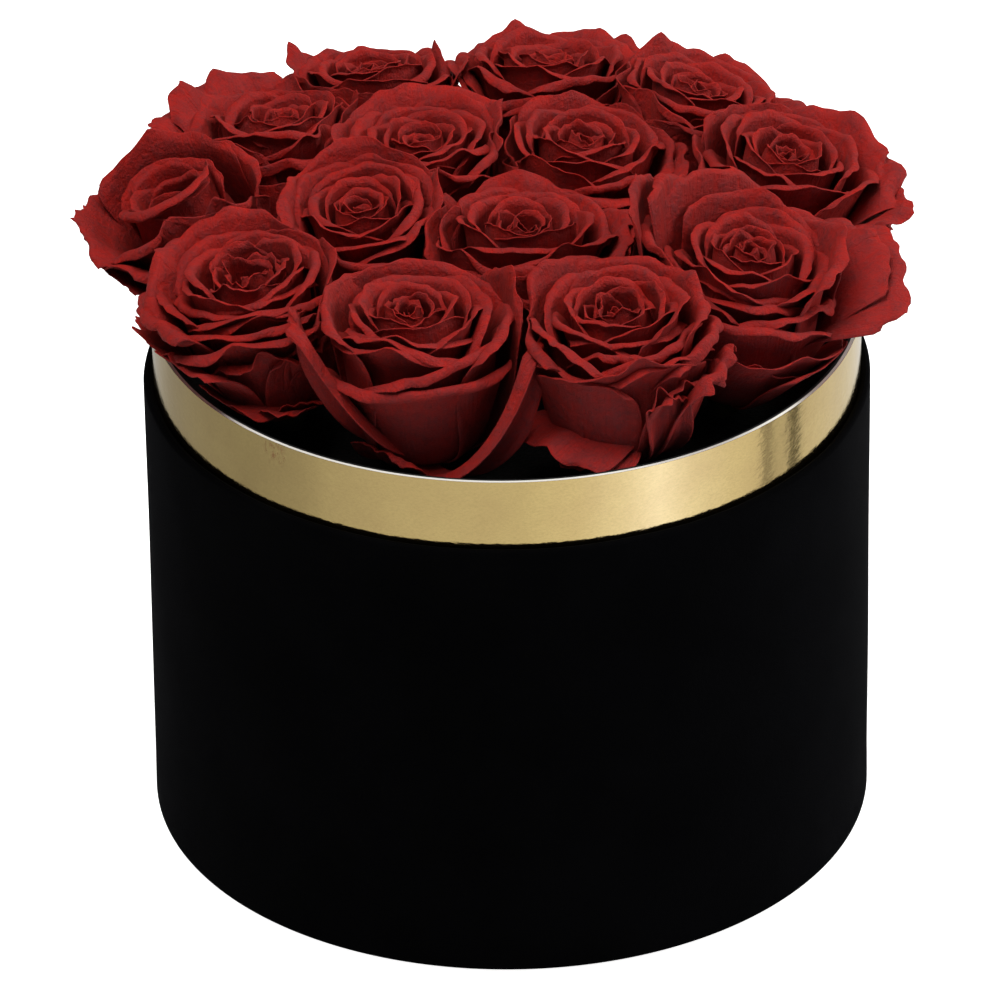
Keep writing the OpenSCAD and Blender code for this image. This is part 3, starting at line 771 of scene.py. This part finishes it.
def petalSheet(petal, grid, rng):
    # the middle surface of a petal in the rose's own axes, in mm; u runs across it, v up it
    base = roseBase
    across, rows = grid
    rolled, rollFrom = base["rollRows"], base["rollFrom"]
    line = petalLine(petal, rows - rolled)
    u = np.linspace(-1, 1, across)[:, None]
    v = np.concatenate([np.linspace(0, rollFrom, rows - rolled), np.linspace(rollFrom, 1, rolled + 1)[1:]])[None, :]
    peak = rng.uniform(-0.25, 0.25)
    sides = 1 - petal["drop"] * np.abs(u) ** rng.uniform(2.2, 3.4)
    lift = petal["skew"] * u + petal["tip"] * np.exp(-np.abs((u - peak) / 0.22) ** 1.4)
    # the roll: tighter or looser along the rim, least at the peak
    uneven = 1 + 0.40 * np.sin(u * rng.uniform(1.5, 3.2) + rng.uniform(0, fullTurn))
    uneven = uneven - 0.45 * min(petal["tip"] / 3, 1) * np.exp(-((u - peak) / 0.25) ** 2)
    share = np.linspace(0, 1, rolled + 1)[None, 1:]
    start = math.radians(petal["topOut"])
    taper = 1 - 0.6 * eased((np.abs(u) - 0.5) / 0.5)
    lean = start + np.radians(petal["roll"]) * uneven * taper * share ** 0.85
    step = petal["rollLength"] / rolled * (1 + 0.3 * (uneven - 1)) * (0.5 + 0.5 * taper)
    beyondOut = np.cumsum(np.sin(lean) * step, axis=1)
    beyondUp = np.cumsum(np.cos(lean) * step, axis=1)
    middle = np.concatenate([line[:, 0], np.full(rolled, line[-1, 0])])[None, :]
    out = np.concatenate([np.zeros((across, rows - rolled)), beyondOut], axis=1)
    up = np.concatenate([line[:, 1][None, :] * sides, line[-1, 1] * sides + beyondUp], axis=1)
    up = up + lift * eased((v - 0.25) / 0.65)
    shape = 0.34 + 0.66 * np.sin(np.clip(v * 1.25, 0, 1) * math.pi / 2) ** 0.9
    shape = shape * (1 - 0.13 * eased((v - 0.80) / 0.2))
    bow = np.maximum(middle * (1 + (petal["flat"] - 1) * eased(v * 1.4)), base["leastBow"])
    wrap = math.radians(base["mostWrap"])
    angle = np.clip(u * petal["halfWidth"] * shape / bow, -wrap, wrap)
    edge = eased((np.abs(u) - base["sideEdge"][0]) / base["sideEdge"][1])
    out = out + petal["slant"] * u * v ** 2 + edge * petal["curl"] * eased(v * 3) + edge * rng.uniform(-0.3, 0.8) * v
    waves = petal["ruffle"] * v ** 2.6
    for turns in base["waves"]:
        phase = rng.uniform(0, fullTurn, 2)
        out = out + waves * 0.75 / turns ** 0.5 * np.sin(u * turns * 1.7 + phase[0])
        up = up + waves * 0.55 / turns ** 0.5 * np.sin(u * turns * 2.0 + phase[1])
    fine = petal["crinkle"] * v ** 4
    for turns in base["fineWaves"]:
        phase = rng.uniform(0, fullTurn, 2)
        out = out + fine * np.sin(u * turns + phase[0] + 2 * v)
        up = up + fine * np.sin(u * turns * 0.9 + phase[1])
    dents = sum(rng.uniform(-1, 1) * np.sin(u * a + rng.uniform(0, fullTurn))
                * np.sin(v * b + rng.uniform(0, fullTurn)) for a, b in base["dents"])
    pleats = sum(rng.uniform(0.3, 1) * np.sin(u * a + rng.uniform(0, fullTurn)) for a in base["pleats"])
    out = out + (dents + pleats * base["pleatDepth"]) * petal["dent"] * v
    around = np.maximum(bow + out, 0.3)
    outward = middle - bow + around * np.cos(angle)
    aside = around * np.sin(angle)
    turn = np.radians(petal["turn"] + petal["twist"] * (v - 0.5))
    return np.stack([outward * np.cos(turn) - aside * np.sin(turn),
                     outward * np.sin(turn) + aside * np.cos(turn), up], axis=-1)


def pressedBack(points, walls, margin, give):
    # a soft push, so that a petal bends as it nears a wall instead of being cut flat
    for normal, at, aside, side, bends in walls:
        along = (points - at) @ aside / mm
        wave = side * roseBase["bend"] * (np.sin(along / 5.5 + bends[0]) + 0.6 * np.sin(along / 2.6 + bends[1]))
        past = (points - at) @ normal + (margin + wave) * mm
        points = points - (np.logaddexp(0, past / (give * mm)) * give * mm)[..., None] * normal
    return points


def shellOf(sheet, number, fresh):
    # both skins of a petal and the rounded edge between them, as points and quads
    alongU = np.gradient(sheet, axis=0)
    alongV = np.gradient(sheet, axis=1)
    normal = np.cross(alongU, alongV)
    normal /= np.maximum(np.linalg.norm(normal, axis=-1, keepdims=True), 1e-9)
    nu, nv = sheet.shape[:2]
    thick = np.linspace(*roseBase["thick"], nv)[None, :, None] * mm / 2
    outside, inside = sheet + normal * thick, sheet - normal * thick
    ids = np.arange(nu * nv).reshape(nu, nv)
    quads = np.stack([ids[:-1, :-1], ids[1:, :-1], ids[1:, 1:], ids[:-1, 1:]], axis=-1).reshape(-1, 4)
    ring = np.concatenate([ids[:, 0], ids[-1, 1:], ids[-2::-1, -1], ids[0, -2:0:-1]])
    away = sheet.reshape(-1, 3)[ring] - np.concatenate(
        [sheet[:, 1], sheet[-2, 1:], sheet[-2::-1, -2], sheet[1, -2:0:-1]])
    away /= np.maximum(np.linalg.norm(away, axis=-1, keepdims=True), 1e-9)
    thickRing = np.broadcast_to(thick, sheet.shape[:2] + (1,)).reshape(-1, 1)[ring]
    edge = sheet.reshape(-1, 3)[ring] + away * thickRing
    count = nu * nv
    middle = 2 * count + np.arange(len(ring))
    after = np.roll(np.arange(len(ring)), -1)
    outer = np.stack([ring, middle, middle[after], ring[after]], axis=-1)
    inner = np.stack([middle, ring + count, ring[after] + count, middle[after]], axis=-1)
    points = np.concatenate([outside.reshape(-1, 3), inside.reshape(-1, 3), edge])
    faces = np.concatenate([quads, quads[:, ::-1] + count, outer, inner])
    u = np.repeat(np.linspace(0, 1, nu), nv) + 2 * number
    # v starts higher on petals that lack some of the painted shade at the foot
    v = np.tile(np.linspace(fresh, 1, nv), nu)
    flat = np.stack([u, v], axis=-1)
    return points, faces, np.concatenate([flat, flat, flat[ring]])


def meshFrom(name, parts):
    points, faces, maps, start = [], [], [], 0
    for shellPoints, shellFaces, shellMap in parts:
        points.append(shellPoints)
        faces.append(shellFaces + start)
        maps.append(shellMap)
        start += len(shellPoints)
    points, faces, maps = np.concatenate(points), np.concatenate(faces), np.concatenate(maps)
    mesh = bpy.data.meshes.new(name)
    mesh.vertices.add(len(points))
    mesh.vertices.foreach_set("co", points.ravel())
    mesh.loops.add(faces.size)
    mesh.loops.foreach_set("vertex_index", faces.ravel())
    mesh.polygons.add(len(faces))
    mesh.polygons.foreach_set("loop_start", np.arange(0, faces.size, 4))
    mesh.polygons.foreach_set("use_smooth", np.ones(len(faces), bool))
    layer = mesh.uv_layers.new(name="petal")
    layer.uv.foreach_set("vector", maps[faces.ravel()].astype(np.float32).ravel())
    mesh.update()
    mesh.validate()
    thing = bpy.data.objects.new(name, mesh)
    bpy.context.scene.collection.objects.link(thing)
    return thing


def growRose(body):
    base, habit, rose = roseBase, roseHabits[body], roses[body]
    neighbours, overEdge = wallsRound(body)
    rng = np.random.default_rng(base["seedStep"] * int(body[-2:]))
    faces = math.degrees(math.atan2(rose["axes"][0][1], rose["axes"][0][0]))
    riseWay, riseBy = habit["rise"]
    drift = np.array([*habit["drift"], 0.0]) @ rose["axes"].T
    spread = base["turnSpread"]
    shells = []

    def grow(petal, s, grid):
        sheet = petalSheet(petal, grid, rng)
        sheet = sheet + drift * np.clip(sheet[..., 2:] / base["leanFrom"], 0, 1.1) ** 2
        world = rose["seat"] + (sheet * mm) @ rose["axes"]
        margin = (1 - s) * base["nest"] - petal["past"]
        for _ in range(2):
            world = pressedBack(world, neighbours, margin, base["squeeze"])
            world = pressedBack(world, overEdge, margin, base["squeeze"])
        number = len(shells) + (dustyShift // 2 if petal["dusty"] else 0)
        shells.append(shellOf(world, number, petal["fresh"]))

    for k in range(habit["whorl"]):
        s = k / (base["petals"] - 1)
        turn = habit["turn"] + k * base["golden"] + rng.uniform(-spread, spread)
        petal = petalValues(s, turn, habit, rng)
        lift = riseBy * s * math.cos(math.radians(turn + faces - riseWay))
        petal["rim"] = (petal["rim"][0], petal["rim"][1] + lift)
        petal["topOut"] -= 3 * lift
        grow(petal, s, base["heartGrid"] if k < base["heartPetals"] else base["petalGrid"])
    s = base["outerShare"]
    for petal in outerPetals[body]:
        grow(petalValues(s, petal["toward"] - faces, habit, rng) | petal, s, base["petalGrid"])
    split = base["heartPetals"]
    for part, piece, finish in (("heart", shells[:split], "heart"), ("petals", shells[split:], "petal")):
        thing = meshFrom(f"{body}_{part}_bloom", piece)
        thing.data.materials.append(finishes[finish])
        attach(thing, body)
        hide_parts(f"{body}_{part}")
    dress(frame["nodes"][body + "_stem"], "stem")


for body in roses:
    growRose(body)
print("roses grown:", len(roses))

cover = meshFrom("velvet_cover", [wrapBox()])
cover.data.materials.append(finishes["velvet"])
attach(cover, "box")
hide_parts("velvet_wrap")
print("velvet cover wrapped")


viewFrom = {
    "fall": 30.81,                 # degrees below the level
    "roll": 0.70,
    "distance": 2.9898,
    "slide": (0.00287, -0.02218),  # how far the wall's middle lies from the view's middle
    "lens": 351.6,
    "sensor": 36.0,
}


def aimCamera():
    fall, roll = math.radians(viewFrom["fall"]), math.radians(viewFrom["roll"])
    forward = Vector((0, math.cos(fall), -math.sin(fall)))
    level = Vector((1, 0, 0))
    upright = level.cross(forward)
    right = level * math.cos(roll) - upright * math.sin(roll)
    up = level * math.sin(roll) + upright * math.cos(roll)
    middle = Vector((0, 0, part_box("velvet_wrap")[1].z / 2))
    eye = middle - right * viewFrom["slide"][0] - up * viewFrom["slide"][1] - forward * viewFrom["distance"]
    data = bpy.data.cameras.new("camera")
    data.lens = viewFrom["lens"]
    data.sensor_width = viewFrom["sensor"]
    data.clip_end = 50
    camera = bpy.data.objects.new("camera", data)
    camera.matrix_world = Matrix((
        (right.x, up.x, -forward.x, eye.x), (right.y, up.y, -forward.y, eye.y),
        (right.z, up.z, -forward.z, eye.z), (0, 0, 0, 1)))
    bpy.context.scene.collection.objects.link(camera)
    bpy.context.scene.camera = camera


aimCamera()

softLights = {
    "overhead": {"at": (-0.23, -0.36, 1.65), "size": (1.1, 1.1), "power": 24.5, "aim": (0, 0, 0.12)},
    "rightRim": {"at": (1.5, 0.35, 0.9), "size": (0.9, 0.9), "power": 17, "aim": (0, 0, 0.10)},
}


def lightUp(name, spec):
    data = bpy.data.lights.new(name, "AREA")
    data.shape = "RECTANGLE"
    data.size, data.size_y = spec["size"]
    data.energy = spec["power"]
    lamp = bpy.data.objects.new(name, data)
    lamp.location = spec["at"]
    lamp.rotation_euler = (Vector(spec["aim"]) - Vector(spec["at"])).to_track_quat("-Z", "Y").to_euler()
    bpy.context.scene.collection.objects.link(lamp)


for name, spec in softLights.items():
    lightUp(name, spec)


roomLight = 0.11
floors = {
    "floor": {"low": 0.2, "glow": 0.95, "albedo": 0.90},       # mm under the box; what the camera sees
    "floorBounce": {"low": 0.6, "glow": 0.0, "albedo": 0.62},  # what the velvet and the petals get from below
}


def whiteRoom():
    world = bpy.data.worlds.new("room")
    world.use_nodes = True
    world.node_tree.nodes["Background"].inputs["Color"].default_value = (1, 1, 1, 1)
    world.node_tree.nodes["Background"].inputs["Strength"].default_value = roomLight
    bpy.context.scene.world = world


whiteRoom()
bpy.context.scene.view_settings.view_transform = "Standard"


def layFloor(name):
    spec, half = floors[name], 6
    mesh = bpy.data.meshes.new(name)
    mesh.from_pydata([(-half, -half, 0), (half, -half, 0), (half, half, 0), (-half, half, 0)], [], [(0, 1, 2, 3)])
    floor = bpy.data.objects.new(name, mesh)
    floor.location.z = -spec["low"] * mm
    bpy.context.scene.collection.objects.link(floor)
    s = Shade(name, {"Specular IOR Level": 0.1, "Emission Color": (1, 1, 1, 1), "Emission Strength": spec["glow"]})
    pale = spec["albedo"]
    tint = s.mix(s.noise(s.place(), 3, 2, 0.5), (pale,) * 3, (pale + 0.03,) * 3)
    floor.data.materials.append(s.set(colour=tint, rough=0.9))
    return floor


seen = layFloor("floor")
seen.visible_diffuse = seen.visible_glossy = seen.visible_shadow = False
bounce = layFloor("floorBounce")
bounce.visible_camera = False

cards = {
    "radius": 0.27,
    "height": 0.30,
    "glow": 1.5,                 # what full brightness stands for
    "cool": (0.0, 0.12, 0.75),   # how much bluer the brightest card is
    # brightness of the card round the box, by the turn from its back: 0.5 is the front, more is the right
    "levels": [(0.0, 0.60), (0.17, 0.34), (0.29, 0.34), (0.34, 0.42), (0.37, 0.55), (0.42, 0.66), (0.47, 0.72),
               (0.51, 0.76), (0.55, 0.92), (0.585, 1.15), (0.611, 1.45), (0.638, 1.15), (0.675, 0.92),
               (0.7060, 0.84), (0.7080, 0.12), (0.7128, 0.12), (0.7155, 0.62), (0.7370, 0.66), (0.7398, 0.02),
               (0.7478, 0.02), (0.7510, 0.70), (0.7700, 0.78), (0.80, 0.82), (0.88, 0.80), (1.0, 0.60)],
}


def standCards():
    # a band of studio card round the box, which only the gold's reflection shows
    steps, r = 120, cards["radius"]
    ring = [(r * math.sin(a), r * math.cos(a)) for a in np.linspace(0, 2 * math.pi, steps, endpoint=False)]
    points = [(x, y, z) for z in (0.001, cards["height"]) for x, y in ring]
    faces = [(i, (i + 1) % steps, (i + 1) % steps + steps, i + steps) for i in range(steps)]
    mesh = bpy.data.meshes.new("studioCards")
    mesh.from_pydata(points, [], faces)
    card = bpy.data.objects.new("studioCards", mesh)
    bpy.context.scene.collection.objects.link(card)
    card.visible_camera = card.visible_diffuse = card.visible_shadow = False
    s = Shade("cardWhite", {"Base Color": (0, 0, 0, 1), "Specular IOR Level": 0.0, "Roughness": 1.0,
                            "Emission Strength": cards["glow"]})
    x, y, _ = s.parts(s.place())
    turn = s.math("ARCTAN2", 0 - x, 0 - y) / -math.tau + 0.5
    stops = [(place, tuple(level / cards["glow"] * (1 + cool * max(level - 0.85, 0)) for cool in cards["cool"]))
             for place, level in cards["levels"]]
    glow = s.ramp(turn, stops)
    s.feed(s.shader.inputs["Emission Color"], glow)
    card.data.materials.append(s.material)


standCards()
print("camera, lights and floor set")
